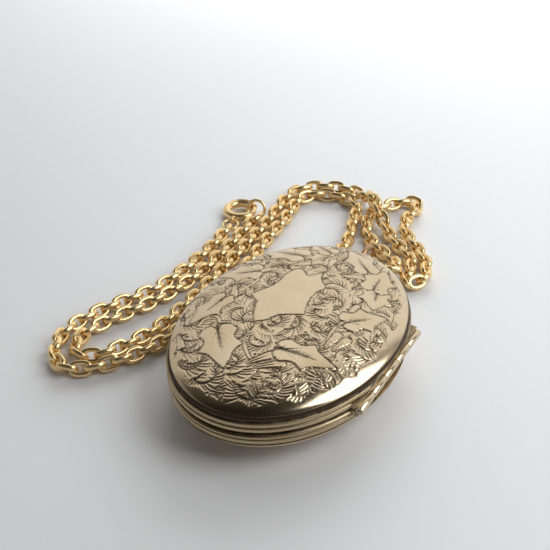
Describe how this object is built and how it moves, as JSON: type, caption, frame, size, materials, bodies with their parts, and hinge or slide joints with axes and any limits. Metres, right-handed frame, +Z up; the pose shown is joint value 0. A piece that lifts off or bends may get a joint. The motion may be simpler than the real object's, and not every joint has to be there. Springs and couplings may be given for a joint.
{
  "type": "oval locket on a chain",
  "caption": "Oval engraved gold locket with a hinged domed cover, photo frames inside, a bail ring, and a fine trace chain closed by a bolt ring.",
  "frame": {"origin": "centre of the small flat at the bottom of the back dome, on the surface that the locket lies on", "axes": "+Z up through the locket from back to cover, +Y along the oval towards the bail, +X towards the hinge"},
  "size_m": [0.0471, 0.0672, 0.0102],
  "materials": {
    "case_gold": "polished pale gold, engraved, with dark patina in the cuts",
    "chain_gold": "polished yellow gold",
    "pin_metal": "drawn wire",
    "crystal": "clear polished pane",
    "card": "blank matt paper card"
  },
  "bodies": {
    "back": {"back_cover": "case_gold", "back_rim": "case_gold", "snap_bezel": "case_gold", "catch_bead": "case_gold", "back_photo_frame": "case_gold", "back_crystal": "crystal", "back_photo_card": "card", "back_knuckle_1": "case_gold", "back_knuckle_2": "case_gold", "back_knuckle_3": "case_gold", "hinge_pin": "pin_metal", "bail_lug": "case_gold", "chain_left": "chain_gold", "chain_right": "chain_gold", "clasp_body": "chain_gold", "clasp_spring": "pin_metal", "clasp_link": "chain_gold", "end_ring": "chain_gold"},
    "cover": {"front_cover": "case_gold", "front_rim": "case_gold", "front_photo_frame": "case_gold", "front_crystal": "crystal", "front_photo_card": "card", "front_knuckle_1": "case_gold", "front_knuckle_2": "case_gold", "nail_lip": "case_gold"},
    "bail": {"bail_ring": "case_gold", "threaded_chain": "chain_gold"},
    "clasp_bolt": {"clasp_trigger": "chain_gold"}
  },
  "joints": [
    {"name": "cover_hinge", "type": "hinge", "parent": "back", "child": "cover", "pos_m": [0.01435, 0, 0.005], "axis": [0, 1, 0], "range_deg": [0, 155]},
    {"name": "bail_swing", "type": "hinge", "parent": "back", "child": "bail", "pos_m": [0, 0.02225, 0.0045], "axis": [1, 0, 0], "range_deg": [-5, 110]},
    {"name": "clasp_slide", "type": "hinge", "parent": "back", "child": "clasp_bolt", "pos_m": [-0.02675, 0.0303, 0.00095], "axis": [0, 0, 1], "range_deg": [0, 58], "stiffness_Nm_per_rad": 0.002, "springref_deg": -17.19}
  ]
}
